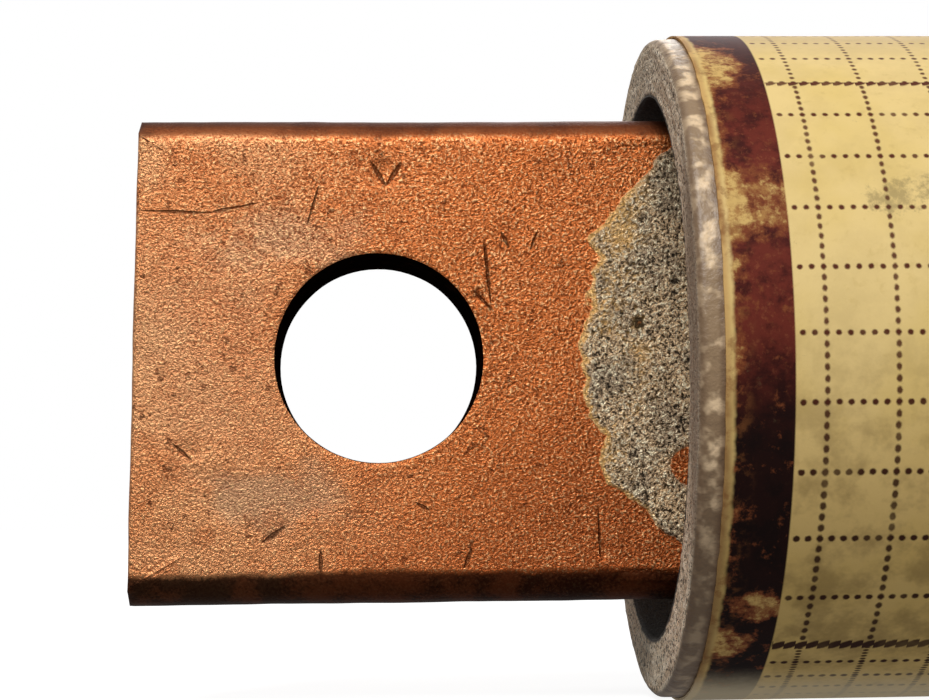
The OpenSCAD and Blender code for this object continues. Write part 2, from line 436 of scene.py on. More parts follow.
toward_tube = (from_hole_x + patchy * 6).past(-12, 12)
low_right = (from_hole_x * 0.7 - from_hole_z + broad * 8).past(9, 22)
stain = sum(stained(*spot) for spot in BLADE_STAINS).math("MINIMUM", 1.0)
# How strong the grain's painted highlights and shade are: stronger upwards and towards the tube.
glint_contrast = (from_hole_x + from_hole_z).past(-14, 12) * 0.45 + 0.55
marks = scratch(*BLADE_SCRATCHES[0])
for line in BLADE_SCRATCHES[1:]:
    marks = marks.math("MAXIMUM", scratch(*line))
marks = marks * shown * (fine.past(0.3, 0.5) * 0.5 + 0.5)
ragged = (patchy - 0.5) * 0.7 + (worm - 0.5) * 0.5
top_edge = (from_hole_z + ragged * 0.7).past(*BLADE_TOP_DARK)
# Painted shade along the rounded bottom edge.
low_edge_shade = (ragged - from_hole_z).past(*BLADE_LOW_SHADE)
edge = top_edge + low_edge_shade
top_brown = copper.coats(
    paint(112, 60, 34),
    (patchy.past(0.4, 0.7) * 0.6, paint(60, 28, 18)),
    (from_hole_z.past(*BLADE_TOP_BLACK) * 0.7, paint(70, 32, 18)),
)
low_edge_shade_colour = copper.mix((patchy + worm * 0.3).past(0.55, 0.8) * 0.6, paint(30, 14, 10), paint(96, 48, 26))
coppery = copper.coats(
    paint(214, 152, 104),
    # Redder towards the tube, with warm patches, brown clouds and a browner lower corner.
    (toward_tube, paint(204, 114, 60)),
    (broad.past(0.42, 0.62) * 0.5, paint(204, 112, 56)),
    (cloud.past(0.5, 0.66) * 0.4, paint(172, 92, 48)),
    (low_right * 0.7, paint(160, 82, 42)),
    # Grey stains beside the hole.
    (stain * shown * 0.58, paint(186, 150, 116)),
    # The tumbled grain, with painted highlights on its crests and painted shade in its hollows.
    (worm.past(0.53, 0.64) * glint_contrast * 0.6, paint(255, 206, 146)),
    (worm.near(0.36, 0.48) * glint_contrast * 0.85, paint(116, 54, 26)),
    (fine.near(0.36, 0.48) * glint_contrast * 0.7, paint(106, 50, 26)),
    # Pits, dirt and scratches.
    ((pit + patchy * 0.3).past(0.82, 0.88) * 0.65, paint(78, 36, 20)),
    (dirt.past(0.6, 0.7) * broad.past(0.4, 0.55) * 0.45, paint(112, 58, 30)),
    (marks * 0.7, paint(70, 30, 16)),
    # The rounded edges: the top one darker brown up to a dark line, the bottom one darkened by painted
    # shade.
    (top_edge * 0.95, top_brown),
    (low_edge_shade * 0.95, low_edge_shade_colour),
)
relief = worm * (1.15 - stain * 0.5) + fine * 0.5 + patchy * 0.9 - marks * 1.2
copper_finish = copper.surface(
    base_color=coppery,
    metallic=1.0,
    roughness=0.4 + edge * 0.12,
    normal=copper.bump(relief * (1 - edge * 0.7), 0.086, 0.9),
)

# The bolt hole's wall, near-black brown.
hole_wall = Finish("dark_hole_wall")
hole_wall_finish = hole_wall.surface(
    base_color=hole_wall.mix(hole_wall.grain(0.8, 4, 0.65).past(0.5, 0.75), paint(12, 6, 4), paint(44, 22, 14)),
    roughness=0.9,
    specular_ior_level=0.0,
    normal=hole_wall.bump(hole_wall.grain(0.3, 3, 0.6), 0.06, 0.7),
)

for side, node, mount in ((-1, "left_blade", "left_bolt_hole"), (1, "right_blade", "right_bolt_hole")):
    hole = Vector(bolt_holes[mount]["pos_m"])
    hole_r = bolt_holes[mount]["dims"]["r_mm"] * MM - BLADE_HOLE_ROLL
    blade = add_piece(node + "_bar", blade_mesh(node, hole, hole_r, side), copper_finish, 40)
    blade.data.materials.append(hole_wall_finish)
    for face in blade.data.polygons:
        aside = math.hypot(face.center.x - hole.x, face.center.z - hole.z)
        if aside < hole_r * BLADE_BORE_ZONE and abs(face.normal.y) < 0.5:
            face.material_index = 1
    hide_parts(node)

# ---- Braze ----
# Silver braze run round each blade's root while the end was hot, which fixes the blade in its bell.
# It has frozen in a lumpy grey film with a yellow fringe, ragged where it stopped on the copper.

BRAZE_STEP = 0.11 * MM
BRAZE_HALF = 12.2 * MM
BRAZE_FILM = 0.11
BRAZE_LUMP = 0.055
BRAZE_SINK = 0.3
BRAZE_CLIMB = 1.8 * MM
BRAZE_BURY = 0.4 * MM
BRAZE_ROOT = 0.6 * MM
BRAZE_SPARE = 0.7 * MM
BRAZE_CUT = -0.5
BRAZE_EARLY = 0.3
BRAZE_THIN = (3.22, 3.29)
BRAZE_BARE = (3.13, 3.19)
BRAZE_FRINGE = (13.5, 16.5)
BRAZE_RAGGED = [(1100, 0.38), (3100, 0.16)]
BRAZE_SWELLS = [(420, 0.35)]
BRAZE_LUMPS = [(900, 0.6), (4200, 0.7), (7600, 0.7)]

# Where the film begins: height across the blade, and distance from the hole's centre.
BRAZE_EDGE = [(-12.2, 18.0), (-11.0, 16.9), (-9.9, 15.9), (-8.9, 14.7), (-7.9, 13.9), (-7.1, 12.9),
              (-6.6, 12.1), (-5.8, 11.8), (-4.2, 12.0), (-3.1, 11.3), (-1.5, 10.9), (1.1, 11.0),
              (3.2, 11.4), (5.2, 11.8), (6.4, 11.3), (7.2, 12.3), (9.0, 13.9), (10.4, 15.2),
              (11.4, 16.2), (12.2, 17.4)]

# A bare spot and two pin holes in the film, in the same form as the blade's dents.
BRAZE_HOLES = [
    (16.4, -5.75, 1.0, 1.2, 1.6, 0.75),
    (13.6, 1.7, 1.0, 1.0, 0.6, 0.14),
    (15.5, 3.9, 1.0, 1.0, 0.4, 0.12),
]


def braze_start(across):
    """Distance from the hole's centre at which the braze begins, for a height across the blade."""
    across = min(max(across, BRAZE_EDGE[0][0]), BRAZE_EDGE[-1][0] - 0.001)
    for (low, start), (high, end) in zip(BRAZE_EDGE, BRAZE_EDGE[1:]):
        if across < high:
            return start + (end - start) * (across - low) / (high - low)


def braze_height(along, across, spot, first):
    """Height of the braze above the copper, in millimetres, and how far inside its edge the point is."""
    inside = along - braze_start(across) + waves(spot, BRAZE_RAGGED) + BRAZE_EARLY
    height = BRAZE_FILM * ramp(inside, -0.1, 0.45) * (1 + waves(spot, BRAZE_SWELLS))
    height += BRAZE_LUMP * waves(spot, BRAZE_LUMPS) * ramp(inside, -0.1, 0.3)
    height -= BRAZE_SINK * (1 - ramp(inside, -0.35, 0.0))
    if first:
        height -= dents(BRAZE_HOLES, along, across)
    return height, inside


def braze_mesh(side, hole, bell_face, face_y):
    near = abs(hole.x) - bell_face
    far = min(start for _, start in BRAZE_EDGE) * MM - BRAZE_SPARE
    half = (near - far) / 2
    bm = bmesh.new()
    for face in (-1, 1):
        first = side < 0 and face < 0
        film = bmesh.new()
        bmesh.ops.create_grid(film, x_segments=round(2 * half / BRAZE_STEP),
                              y_segments=round(2 * BRAZE_HALF / BRAZE_STEP), size=1.0)
        bmesh.ops.scale(film, vec=(half, BRAZE_HALF, 1), verts=film.verts)
        bare = []
        for v in film.verts:
            along = far + half + v.co.x
            across = v.co.y
            spot = Vector((along, across, 0.02 * face + 0.05 * side))
            height, inside = braze_height(along / MM, across / MM, spot, first)
            climb = ramp(along, near - BRAZE_CLIMB, near + BRAZE_BURY) * ramp(inside, -0.1, 0.8)
            v.co = Vector((side * (abs(hole.x) - along),
                           face * (face_y + height * MM + climb * BRAZE_CLIMB),
                           hole.z + across))
            if inside < BRAZE_CUT:
                bare.append(v)
        bmesh.ops.delete(film, geom=bare, context="VERTS")
        for v in points(bmesh.ops.extrude_face_region(film, geom=list(film.faces))["geom"]):
            v.co.y = face * (face_y - BRAZE_ROOT)
        bmesh.ops.recalc_face_normals(film, faces=film.faces)
        mesh = bpy.data.meshes.new("film")
        film.to_mesh(mesh)
        film.free()
        bm.from_mesh(mesh)
        bpy.data.meshes.remove(mesh)
    return bm


braze = Finish("frozen_braze")
braze_x, braze_z = from_hole(braze)
lump = braze.grain(0.19, 2, 0.6, warp=0.4)
crumb = braze.grain(0.11, 2, 0.7)
thin = (abs(braze.y) + (lump - 0.5) * 0.06).near(*BRAZE_THIN)
fringe = thin * (braze_x + crumb * 2).near(*BRAZE_FRINGE)


def pin_hole(hole, squash, start, end):
    """1 in one of the film's pin holes and 0 outside it."""
    u = braze_x - hole[0]
    w = braze_z - hole[1]
    return ((u * u + w * w * squash) ** 0.5 + (lump - 0.5) * 0.6).near(start, end)


pin_hole_shade = pin_hole(BRAZE_HOLES[1], 1, 0.2, 0.45) + pin_hole(BRAZE_HOLES[2], 3, 0.15, 0.4)
greyish = braze.coats(
    paint(228, 194, 152),
    (braze.grain(1.8, 3, 0.6).past(0.4, 0.65), paint(188, 164, 134)),
    # Painted highlights on the lumps, with painted shade in the gaps between them.
    (lump.past(0.52, 0.62) * 0.95, paint(255, 240, 206)),
    (crumb.near(0.38, 0.5) * 0.75, paint(70, 58, 46)),
    (lump.near(0.36, 0.48) * 0.95, paint(40, 33, 26)),
    # The yellow fringe, painted shade in the pin holes, and bare copper where the film has run out.
    (fringe * (0.35 + crumb * 0.6), paint(250, 196, 112)),
    (pin_hole_shade * left_front(braze) * 0.9, paint(30, 24, 18)),
    (abs(braze.y).near(*BRAZE_BARE), paint(255, 158, 90)),
)
braze_finish = braze.surface(
    base_color=greyish,
    metallic=0.85,
    roughness=0.42,
    normal=braze.bump(lump + crumb * 0.6, 0.21, 1.0),
)

for side, node, blade, bell, mount in (
        (-1, "left_braze", "left_blade", "left_end_bell", "left_bolt_hole"),
        (1, "right_braze", "right_blade", "right_end_bell", "right_bolt_hole")):
    bell_low, bell_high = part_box(bell)
    bell_face = max(abs(bell_low.x), abs(bell_high.x))
    hole = Vector(bolt_holes[mount]["pos_m"])
    face_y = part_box(blade)[1].y
    film = add_piece(node + "_film", braze_mesh(side, hole, bell_face, face_y), braze_finish, 180)
    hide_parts(node)

# ---- End bells ----
# Turned brass discs that close the tube and carry the current from a blade to the strips. Each has the
# blade's slot, four pin holes and seats for the strips, and is dulled by the heat of the brazing.

FLUX_ASIDE = (3.3, 6.5)
FLUX_OUTER = (23.2, 23.45)

bell = Finish("heated_brass")
turning = bell.node("ShaderNodeTexWave", {"wave_type": "RINGS", "rings_direction": "X"},
                    {"Vector": bell.place, "Scale": 1.6, "Distortion": 0.6, "Detail": 2.0})
heat = bell.grain(5, 4, 0.6)
flux = abs(bell.y).near(*FLUX_ASIDE) * abs(bell.x).past(*FLUX_OUTER)
brassy = bell.coats(
    paint(166, 126, 66),
    (heat.past(0.4, 0.65), paint(112, 78, 44)),
    (bell.grain(0.9, 3, 0.6).past(0.55, 0.7) * 0.6, paint(64, 46, 34)),
    # Burnt flux beside the slot, on the outer face.
    (flux * 0.7, paint(44, 34, 28)),
)
bell_finish = bell.surface(
    base_color=brassy,
    metallic=0.9,
    roughness=0.34 + heat * 0.25,
    normal=bell.bump(turning * 0.6 + bell.grain(0.4, 3, 0.6) * 0.8, 0.03, 0.6),
)


def dress(node, finish):
    """Gives a piece that keeps its made shape its finish."""
    mesh = frame["nodes"][node].data
    mesh.materials.clear()
    mesh.materials.append(finish)


for node in ("left_end_bell", "right_end_bell"):
    dress(node, bell_finish)

# ---- Strips ----
# Four punched silver strips carry the current through the sand and melt at their necks. Each has a bar
# of tin soldered across it, which makes it part early on a long overload.

strip = Finish("rolled_silver")
rolling = strip.grain(0.25, 2, 0.6, place=strip.vector(strip.x * 0.05, strip.y, strip.z))
tarnish = strip.grain(2.5, 4, 0.65)
silvery = strip.coats(
    paint(226, 222, 214),
    (tarnish.past(0.5, 0.75), paint(172, 152, 118)),
    (rolling.past(0.5, 0.7) * 0.3, paint(150, 146, 140)),
)
strip_finish = strip.surface(
    base_color=silvery,
    metallic=1.0,
    roughness=0.22 + tarnish * 0.25,
    normal=strip.bump(rolling, 0.02, 0.5),
)

tin = Finish("soldered_tin")
frost = tin.cells(0.5)
tinny = tin.coats(
    paint(196, 198, 198),
    (frost.past(0.2, 0.7), paint(142, 144, 148)),
    (tin.grain(0.8, 3, 0.6).past(0.55, 0.7) * 0.4, paint(110, 108, 104)),
)
tin_finish = tin.surface(
    base_color=tinny,
    metallic=0.9,
    roughness=0.42,
    normal=tin.bump(frost + tin.grain(0.2, 3, 0.6), 0.05, 0.6),
)

for number in range(1, 5):
    dress("element_%d" % number, strip_finish)
    dress("tin_overlay_%d" % number, tin_finish)

# ---- Gaskets, sand and plug ----
# Red fibre washers keep the quartz sand off the bells. The sand is poured in through the right bell,
# packed by shaking, and shut in with a driven steel plug.

fibre = Finish("vulcanised_fibre")
layers = fibre.grain(0.5, 4, 0.7, place=fibre.vector(fibre.x * 3, fibre.y, fibre.z))
reddish = fibre.coats(
    paint(140, 62, 42),
    (layers.past(0.4, 0.65), paint(104, 40, 28)),
    (fibre.grain(0.12, 2, 0.6).past(0.6, 0.7) * 0.5, paint(178, 104, 76)),
)
fibre_finish = fibre.surface(
    base_color=reddish,
    roughness=0.62,
    normal=fibre.bump(layers, 0.05, 0.6),
)

sand = Finish("quartz_sand")
gap = sand.cells(0.38)
sandy = sand.coats(
    paint(226, 214, 190),
    (sand.cells(1 / 2.6, output="Color"), paint(186, 164, 128)),
    # Painted shade in the gaps between the grains.
    (gap.past(0.45, 0.8) * 0.7, paint(120, 100, 76)),
    (sand.grain(3, 3, 0.6).past(0.5, 0.7) * 0.25, paint(236, 232, 224)),
)
sand_finish = sand.surface(
    base_color=sandy,
    roughness=0.55,
    normal=sand.bump(gap.near(0.1, 0.7), 0.15, 0.9),
)

steel = Finish("drawn_steel")
scale = steel.grain(0.6, 4, 0.65)
steely = steel.coats(
    paint(176, 176, 178),
    (scale.past(0.45, 0.65), paint(128, 126, 124)),
    (steel.grain(0.15, 2, 0.6).past(0.6, 0.72) * 0.5, paint(92, 78, 64)),
)
steel_finish = steel.surface(
    base_color=steely,
    metallic=0.95,
    roughness=0.3 + scale * 0.25,
    normal=steel.bump(scale, 0.02, 0.6),
)

for node in ("left_gasket", "right_gasket"):
    dress(node, fibre_finish)
dress("sand_filler", sand_finish)
dress("fill_plug", steel_finish)

# ---- Casing tube ----
# Glass cloth laminate, rolled in layers and sawn to length. The sawn ends are rough and dusty, and
# the outside is rubbed smooth, with its end edges rounded over and darkened by painted shade.

TUBE_AROUND = 420
TUBE_GAP = 0.05 * MM
TUBE_EDGE_ROUND = 0.5 * MM
TUBE_BORE_BREAK = 0.25 * MM
TUBE_FINE = 0.24 * MM
TUBE_FINE_REACH = 3.6 * MM
TUBE_FINE_FROM = 1.01
TUBE_SAWN = 0.09 * MM
TUBE_SAWN_LOSS = 1.1
TUBE_RUBBED = 0.04 * MM
TUBE_RUBBED_LOSS = 0.9
TUBE_RUBBED_FROM = 1.3 * MM
TUBE_RUBBED_FULL = 0.9 * MM
TUBE_FRONT_FROM = 12 * MM
TUBE_FRONT_FULL = 15 * MM
TUBE_FRONT_EVEN = 0.6
TUBE_SAWN_FACE = (0.75, 0.98)
TUBE_PLIES_PER_M = 2600
TUBE_PLY_TURNS = 6
TUBE_PLY_DRIFT_PER_M = 50
TUBE_PLY = 0.5
TUBE_GRIT = [(1300, 0.6), (3200, 0.7)]
TUBE_SOFT = [(900, 0.5), (300, 0.5)]
OUTSIDE_RADIUS = (17.0, 17.3)
# Radius below which painted shade darkens the bore.
BORE_SHADE_RADIUS = (14.5, 14.7)
# Lines of painted shade at the tube's end edge and beside the label, in millimetres along the tube.
SHADE_AT_EDGE = (26.4, 26.85)
SHADE_AT_LABEL = (25.82, 26.15)
UNDERSIDE = (-8, 2)
FRONT_WALL = (-15.5, -12.5)

tube_low, tube_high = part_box("casing_tube")
tube_r = (tube_high.z - tube_low.z) / 2
tube_end = tube_high.x
tube_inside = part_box("left_end_bell")[1].z + TUBE_GAP
fine_from = tube_end - TUBE_FINE_REACH * TUBE_FINE_FROM

bm = bmesh.new()
corners = [bm.verts.new(p) for p in ((-tube_end, 0, tube_inside), (-tube_end, 0, tube_r),
                                     (tube_end, 0, tube_r), (tube_end, 0, tube_inside))]
for pair in zip(corners, corners[1:] + corners[:1]):
    bm.edges.new(pair)
bmesh.ops.bevel(bm, geom=[v for v in bm.verts if v.co.z > tube_r * NEARLY], offset=TUBE_EDGE_ROUND,
                segments=8, profile=0.5, affect="VERTICES", material=-1)
bmesh.ops.bevel(bm, geom=[v for v in bm.verts if v.co.z * NEARLY < tube_inside], offset=TUBE_BORE_BREAK,
                segments=2, profile=0.5, affect="VERTICES", material=-1)
for cut in (tube_end - TUBE_FINE_REACH, TUBE_FINE_REACH - tube_end):
    bmesh.ops.bisect_plane(bm, geom=bm.verts[:] + bm.edges[:], plane_co=(cut, 0, 0), plane_no=(1, 0, 0))


def near_ends(edges):
    """The edges in the finely divided length at each end."""
    return [e for e in edges if min(abs(v.co.x) for v in e.verts) > fine_from]


coarse = near_ends(bm.edges)
while coarse:
    bmesh.ops.subdivide_edges(bm, edges=coarse, cuts=1)
    coarse = [e for e in near_ends(bm.edges) if e.calc_length() > TUBE_FINE]
bmesh.ops.spin(bm, geom=bm.verts[:] + bm.edges[:], cent=(0, 0, 0), axis=(1, 0, 0), angle=math.tau,
               steps=TUBE_AROUND, use_merge=True)
bmesh.ops.remove_doubles(bm, verts=bm.verts, dist=TINY)
bmesh.ops.recalc_face_normals(bm, faces=bm.faces)
bm.normal_update()
moves = []
for v in bm.verts:
    # The saw left the ends rough, less so at the front, and handling rubbed the outside beside them.
    even_front = TUBE_FRONT_EVEN * ramp(-v.co.y, TUBE_FRONT_FROM, TUBE_FRONT_FULL)
    sawn = ramp(abs(v.normal.x), *TUBE_SAWN_FACE) * (1 - even_front)
    rubbed = ramp(abs(v.co.x), tube_end - TUBE_RUBBED_FROM, tube_end - TUBE_RUBBED_FULL)
    radius = math.hypot(v.co.y, v.co.z)
    angle = math.atan2(v.co.z, v.co.y)
    ply = Vector((radius * TUBE_PLIES_PER_M, angle * TUBE_PLY_TURNS, v.co.x * TUBE_PLY_DRIFT_PER_M))
    grit = waves(v.co, TUBE_GRIT) + noise.noise(ply) * TUBE_PLY
    soft = waves(v.co, TUBE_SOFT)
    moves.append(v.normal * (sawn * (grit - TUBE_SAWN_LOSS) * TUBE_SAWN
                             + (1 - sawn) * rubbed * (soft - TUBE_RUBBED_LOSS) * TUBE_RUBBED))
for v, move in zip(bm.verts, moves):
    v.co += move

tube = Finish("glass_laminate")
tube_angle = tube.z.math("ARCTAN2", tube.y)
tube_radius = (tube.y * tube.y + tube.z * tube.z) ** 0.5
outside = tube_radius.past(*OUTSIDE_RADIUS)
bore_shade = tube_radius.near(*BORE_SHADE_RADIUS)
# Painted shade at the end edge and beside the label.
corner = abs(tube.x).past(*SHADE_AT_EDGE) + abs(tube.x).near(*SHADE_AT_LABEL)
blotch = tube.grain(0.85, 2, 0.5)
mottle = tube.grain(0.45, 3, 0.6)
fleck = tube.grain(0.2, 2, 0.7, warp=0.5)
rolled = tube.grain(1.0, 4, 0.65, place=tube.vector(tube_angle * 3, tube_radius * 2.4, tube.x * 0.3))
rim_tone_and_painted_light = tube.coats(
    paint(158, 130, 98),
    # Painted highlights in soft blotches, and darker mottling.
    (blotch.past(0.44, 0.62), paint(246, 214, 172)),
    (mottle.near(0.34, 0.5) * 0.3, paint(124, 102, 80)),
    # Darker underneath, and painted shade in a line at the tube's edge and beside the label.
    ((tube.z + blotch * 6).near(*UNDERSIDE) * 0.6, paint(104, 80, 56)),
    (corner * 0.7, paint(104, 78, 54)),
)
sawn_end_dust_and_shade = tube.coats(
    paint(224, 196, 162),
    # Rolled layers, pale dust and painted shade in the gaps between the threads, dimmer at the front.
    (rolled.past(0.4, 0.62), paint(255, 234, 204)),
    (fleck.past(0.53, 0.66) * 0.7, paint(255, 244, 226)),
    (fleck.near(0.38, 0.48) * 0.95, paint(52, 42, 34)),
    (tube.y.near(*FRONT_WALL) * 0.75, paint(126, 106, 86)),
)
woven = tube.coats(
    sawn_end_dust_and_shade,
    (outside, rim_tone_and_painted_light),
    # Painted shade on the bore and its inner edge.
    (bore_shade * 0.95, paint(16, 11, 8)),
)
tube_finish = tube.surface(
    base_color=woven,
    roughness=0.7 - outside * 0.34 + fleck * 0.1,
    normal=tube.bump(fleck * (1 - outside * 0.9) * 1.6 + mottle * 0.6, 0.12, 0.9),
)
casing = add_piece("casing_laminate", bm, tube_finish, 60)
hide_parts("casing_tube")

# ---- Retaining pins ----
# Steel pins driven through the tube's wall into each bell, which hold the ends against the blast.
# The label covers their heads.

for node in ("left_retaining_pins", "right_retaining_pins"):
    dress(node, steel_finish)

# ---- Label ----
# A strip of printed paper glued once round the tube, with a lap seam low at the back. It has a dark
# band at each end and a dotted grid, and its edges are rubbed and browned.

PAPER = 0.12 * MM
PAPER_STEP = 0.6 * MM
PAPER_PRESSED = 0.02 * MM
PAPER_PUFF = 0.012 * MM
PAPER_PUFFS_PER_M = 250
PAPER_PUFFS_ROUND = 5
PAPER_NICK = 0.05 * MM
PAPER_NICKS_ROUND = 30
PAPER_NICK_END = 9
PAPER_NICK_SKIP = 0.55
PAPER_CREAM = (0.955, 0.71, 0.3)
LAP = math.radians(19.5)
LAP_FROM = math.radians(45)
LAP_RAMP = math.radians(3)
LAP_RISE = 0.14 * MM
CUT_END = (0.97, 1.0)

label_low, label_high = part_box("paper_label")
label_half = label_high.x
label_out = -label_low.y
label_around = math.tau + LAP
bm = bmesh.new()
bmesh.ops.create_grid(bm, x_segments=round(2 * label_half / PAPER_STEP),
                      y_segments=round(label_around * label_out / PAPER_STEP), size=1.0)
bmesh.ops.solidify(bm, geom=list(bm.faces), thickness=1.0)
for v in bm.verts:
    wound = label_around * (v.co.y + 1) / 2
    angle = LAP_FROM + wound
    x = v.co.x * label_half
    # The cut ends are nicked here and there, and the glued paper has slight puffs.
    end = math.copysign(1, x)
    ring = Vector((0, math.cos(angle), math.sin(angle)))
    nick = noise.noise(ring * PAPER_NICKS_ROUND + Vector((end * PAPER_NICK_END, 0, 0))) - PAPER_NICK_SKIP
    x += end * min(nick * PAPER_NICK, 0.0) * ramp(abs(v.co.x), *CUT_END)
    puff = noise.noise(ring * PAPER_PUFFS_ROUND + Vector((x * PAPER_PUFFS_PER_M, 0, 0))) * PAPER_PUFF
    depth = 0.0 if v.co.z > -0.5 else PAPER
    lapped = ramp(wound, math.tau - LAP_RAMP, math.tau) * LAP_RISE
    radius = label_out - depth + lapped + puff - PAPER_PRESSED
    v.co = Vector((x, radius * math.sin(angle), -radius * math.cos(angle)))
bmesh.ops.recalc_face_normals(bm, faces=bm.faces)

# The print, in degrees round the tube from the front and in millimetres along it. Rows of dots run
# down from the first bold one: a part whose pitch grows, then ten narrow rows, then an even part.
FIRST_ROW = 46.8
GROWING_TO = 100.4
NARROW_TO = 153.7
PITCH = 8.44
PITCH_GROWTH = 0.32
NARROW_PITCH = 5.33
NARROW_ROWS = 10.0
EVEN_PITCH = 8.596
NARROW_SHARE = 0.54
EVEN_SHARE = 0.26
MM_PER_DEGREE = 0.3075
JOIN = 0.1
BOLD_ROWS = 10
GRID_HALF = 21.2
GRID = 2 * GRID_HALF / 13
DOTS_PER_GRID = 6
PRINT_END = (22.55, 22.65)
BAND_INNER = (22.58, 22.68)
BAND_OUTER = (25.25, 25.5)
MARGIN = (25.28, 25.75)
BURNT_END = (24.2, 25.2)
WORN_END = (24.5, 25.4)

# Zones of the label by how far they are turned up from the front, in degrees, each with its fade.
LOW = (-30, 10)
BAND_LOW_SHADE = (-16, 6)
BAND_TOP_SHADE = (30, 58)
TOP_SHADE = (50, 73)
BOUNCE_UPPER = (-72, -58)
BOUNCE_LOWER = (-112, -94)

label = Finish("printed_paper")
turn = label.z.math("ARCTAN2", label.y * -1) * math.degrees(1)
fall = (FIRST_ROW - turn).math("WRAP", 360.0, 0.0)
growing = fall.math("MINIMUM", GROWING_TO) * (2 * PITCH_GROWTH) + PITCH ** 2
growing = (growing ** 0.5 - PITCH) / PITCH_GROWTH
narrow = ((fall - GROWING_TO) / NARROW_PITCH).math("MAXIMUM", 0.0).math("MINIMUM", NARROW_ROWS)
even = (fall - NARROW_TO).math("MAXIMUM", 0.0) / EVEN_PITCH
row = growing + narrow + even
after_growing = fall.past(GROWING_TO - JOIN, GROWING_TO + JOIN)
in_narrow = after_growing * fall.near(NARROW_TO - JOIN, NARROW_TO + JOIN)
in_even = fall.past(NARROW_TO - JOIN, NARROW_TO + JOIN)
full_pitch = (growing * PITCH_GROWTH + PITCH) * MM_PER_DEGREE
pitch = full_pitch * (1 - in_narrow * NARROW_SHARE - in_even * EVEN_SHARE)


def off(value, step):
    """Signed distance from a value to the nearest multiple of a step."""
    turns = value / step
    return (turns - turns.math("ROUND")) * step


along = label.x + GRID_HALF
shake = label.grain(0.7, 2, 0.6) - 0.5
blur = label.grain(0.11, 2, 0.6) * 0.06
off_row = off(row, 1.0) * pitch + shake * 0.1
off_dot = off(along, GRID / DOTS_PER_GRID)
off_line = off(along, GRID) + shake * 0.1
off_step = off(row * DOTS_PER_GRID, 1.0) * full_pitch / DOTS_PER_GRID
bold = abs(off(row, BOLD_ROWS)).near(0.4, 0.5)
low = turn.near(*LOW)

# A bold row's dots are drawn out into slanting dashes. Low down the dots are fatter.
dash_x = (off_dot + off_row * bold * 0.7) * (0.95 - bold * 0.38)
dash_z = off_row * (1.0 - bold * 0.42)
row_ink = (dash_x * dash_x + dash_z * dash_z) ** 0.5 - blur - bold * 0.05 - low * 0.03
line_ink = (off_line * off_line + off_step * off_step * 0.55) ** 0.5 - blur - low * 0.035
ink = row_ink.near(0.045, 0.15).math("MAXIMUM", line_ink.near(0.03, 0.14) * 0.95)
faint = label.grain(2.2, 2, 0.5).past(0.3, 0.5)
ink = ink * (faint * 0.14 + 0.84) * abs(label.x).near(*PRINT_END)


def rubbed_oval(x, x_size, angle, angle_size):
    """1 in the middle of an oval on the label's left end, and 0 outside it."""
    u = (label.x - x) / x_size
    w = (turn - angle) / angle_size
    return (u * u + w * w).near(0.0, 1.2)


# Wear of the dark band: place along, half length, angle, half angle, and how much of it is worn.
BAND_WEAR = [
    (-25.0, 1.9, 53, 11, 0.36),
    (-24.0, 3.0, 21, 7, 0.3),
    (-25.6, 1.2, 15, 30, 0.14),
    (-23.6, 1.5, -44, 4, 0.32),
    (-25.0, 1.8, -53, 5, 0.3),
]

wear = label.grain(0.8, 4, 0.7)
worn = wear + abs(label.x).past(*WORN_END) * 0.07
for x, x_size, angle, angle_size, share in BAND_WEAR:
    worn = worn + rubbed_oval(x, x_size, angle, angle_size) * share
soiled = label.grain(2.4, 4, 0.65)
floor_bounce = (turn + wear * 4).near(*BOUNCE_UPPER) * turn.past(*BOUNCE_LOWER)
grime = (label.grain(1.0, 4, 0.7) + rubbed_oval(-15.5, 4.5, 22, 5) * 0.3).past(0.66, 0.86)
burnt = label.grain(0.9, 4, 0.65).past(0.5, 0.66) * abs(label.x).past(*BURNT_END)
band = abs(label.x).past(*BAND_INNER) * abs(label.x + shake * 0.3).near(*BAND_OUTER)
margin = abs(label.x).past(*MARGIN)
printed = label.coats(
    PAPER_CREAM,
    # The bare paper: cream in patches, greyed at the top with painted shade, and browner low down.
    (label.grain(6, 3, 0.6).past(0.4, 0.65) * 0.5, paint(238, 206, 120)),
    (turn.past(*TOP_SHADE) * 0.8, paint(196, 166, 112)),
    (low * 0.55, paint(204, 166, 92)),
    (soiled.past(0.4, 0.66) * (low * 0.5 + 0.1), paint(146, 118, 70)),
    (label.grain(0.7, 3, 0.6).past(0.55, 0.75) * 0.3, paint(212, 180, 108)),
    (ink, label.mix(low, paint(88, 32, 20), paint(52, 20, 12))),
)
undercoat = label.mix(label.grain(0.55, 3, 0.65).past(0.46, 0.62) * 0.75,
                      paint(222, 184, 112), paint(164, 108, 58))
maroon = label.coats(
    paint(112, 44, 32),
    (label.grain(1.3, 4, 0.65).past(0.4, 0.65), paint(64, 18, 14)),
    (label.grain(0.3, 4, 0.7).past(0.54, 0.7) * 0.5, paint(150, 84, 54)),
    # Painted shade low down and at the top, then worn brown, then worn through to the paper.
    (turn.near(*BAND_LOW_SHADE) * 0.94, paint(13, 4, 3)),
    (turn.past(*BAND_TOP_SHADE) * 0.85, paint(52, 15, 9)),
    (worn.past(0.56, 0.76), paint(136, 74, 42)),
    (worn.past(0.70, 0.94), undercoat),
)
browned = label.coats(
    paint(172, 124, 72),
    (label.grain(1.5, 3, 0.6).past(0.4, 0.6), paint(214, 170, 106)),
    (low * 0.6, paint(128, 92, 56)),
)
papery = label.coats(
    printed,
    (band, maroon),
    (margin * 0.9, browned),
    (burnt * 0.55, paint(136, 84, 46)),
    (grime * 0.5 * (1 - ink * 0.8), paint(120, 104, 72)),
    # A pale strip underneath, painted light reflected up from the floor.
    (floor_bounce * 0.72, paint(255, 236, 198)),
)
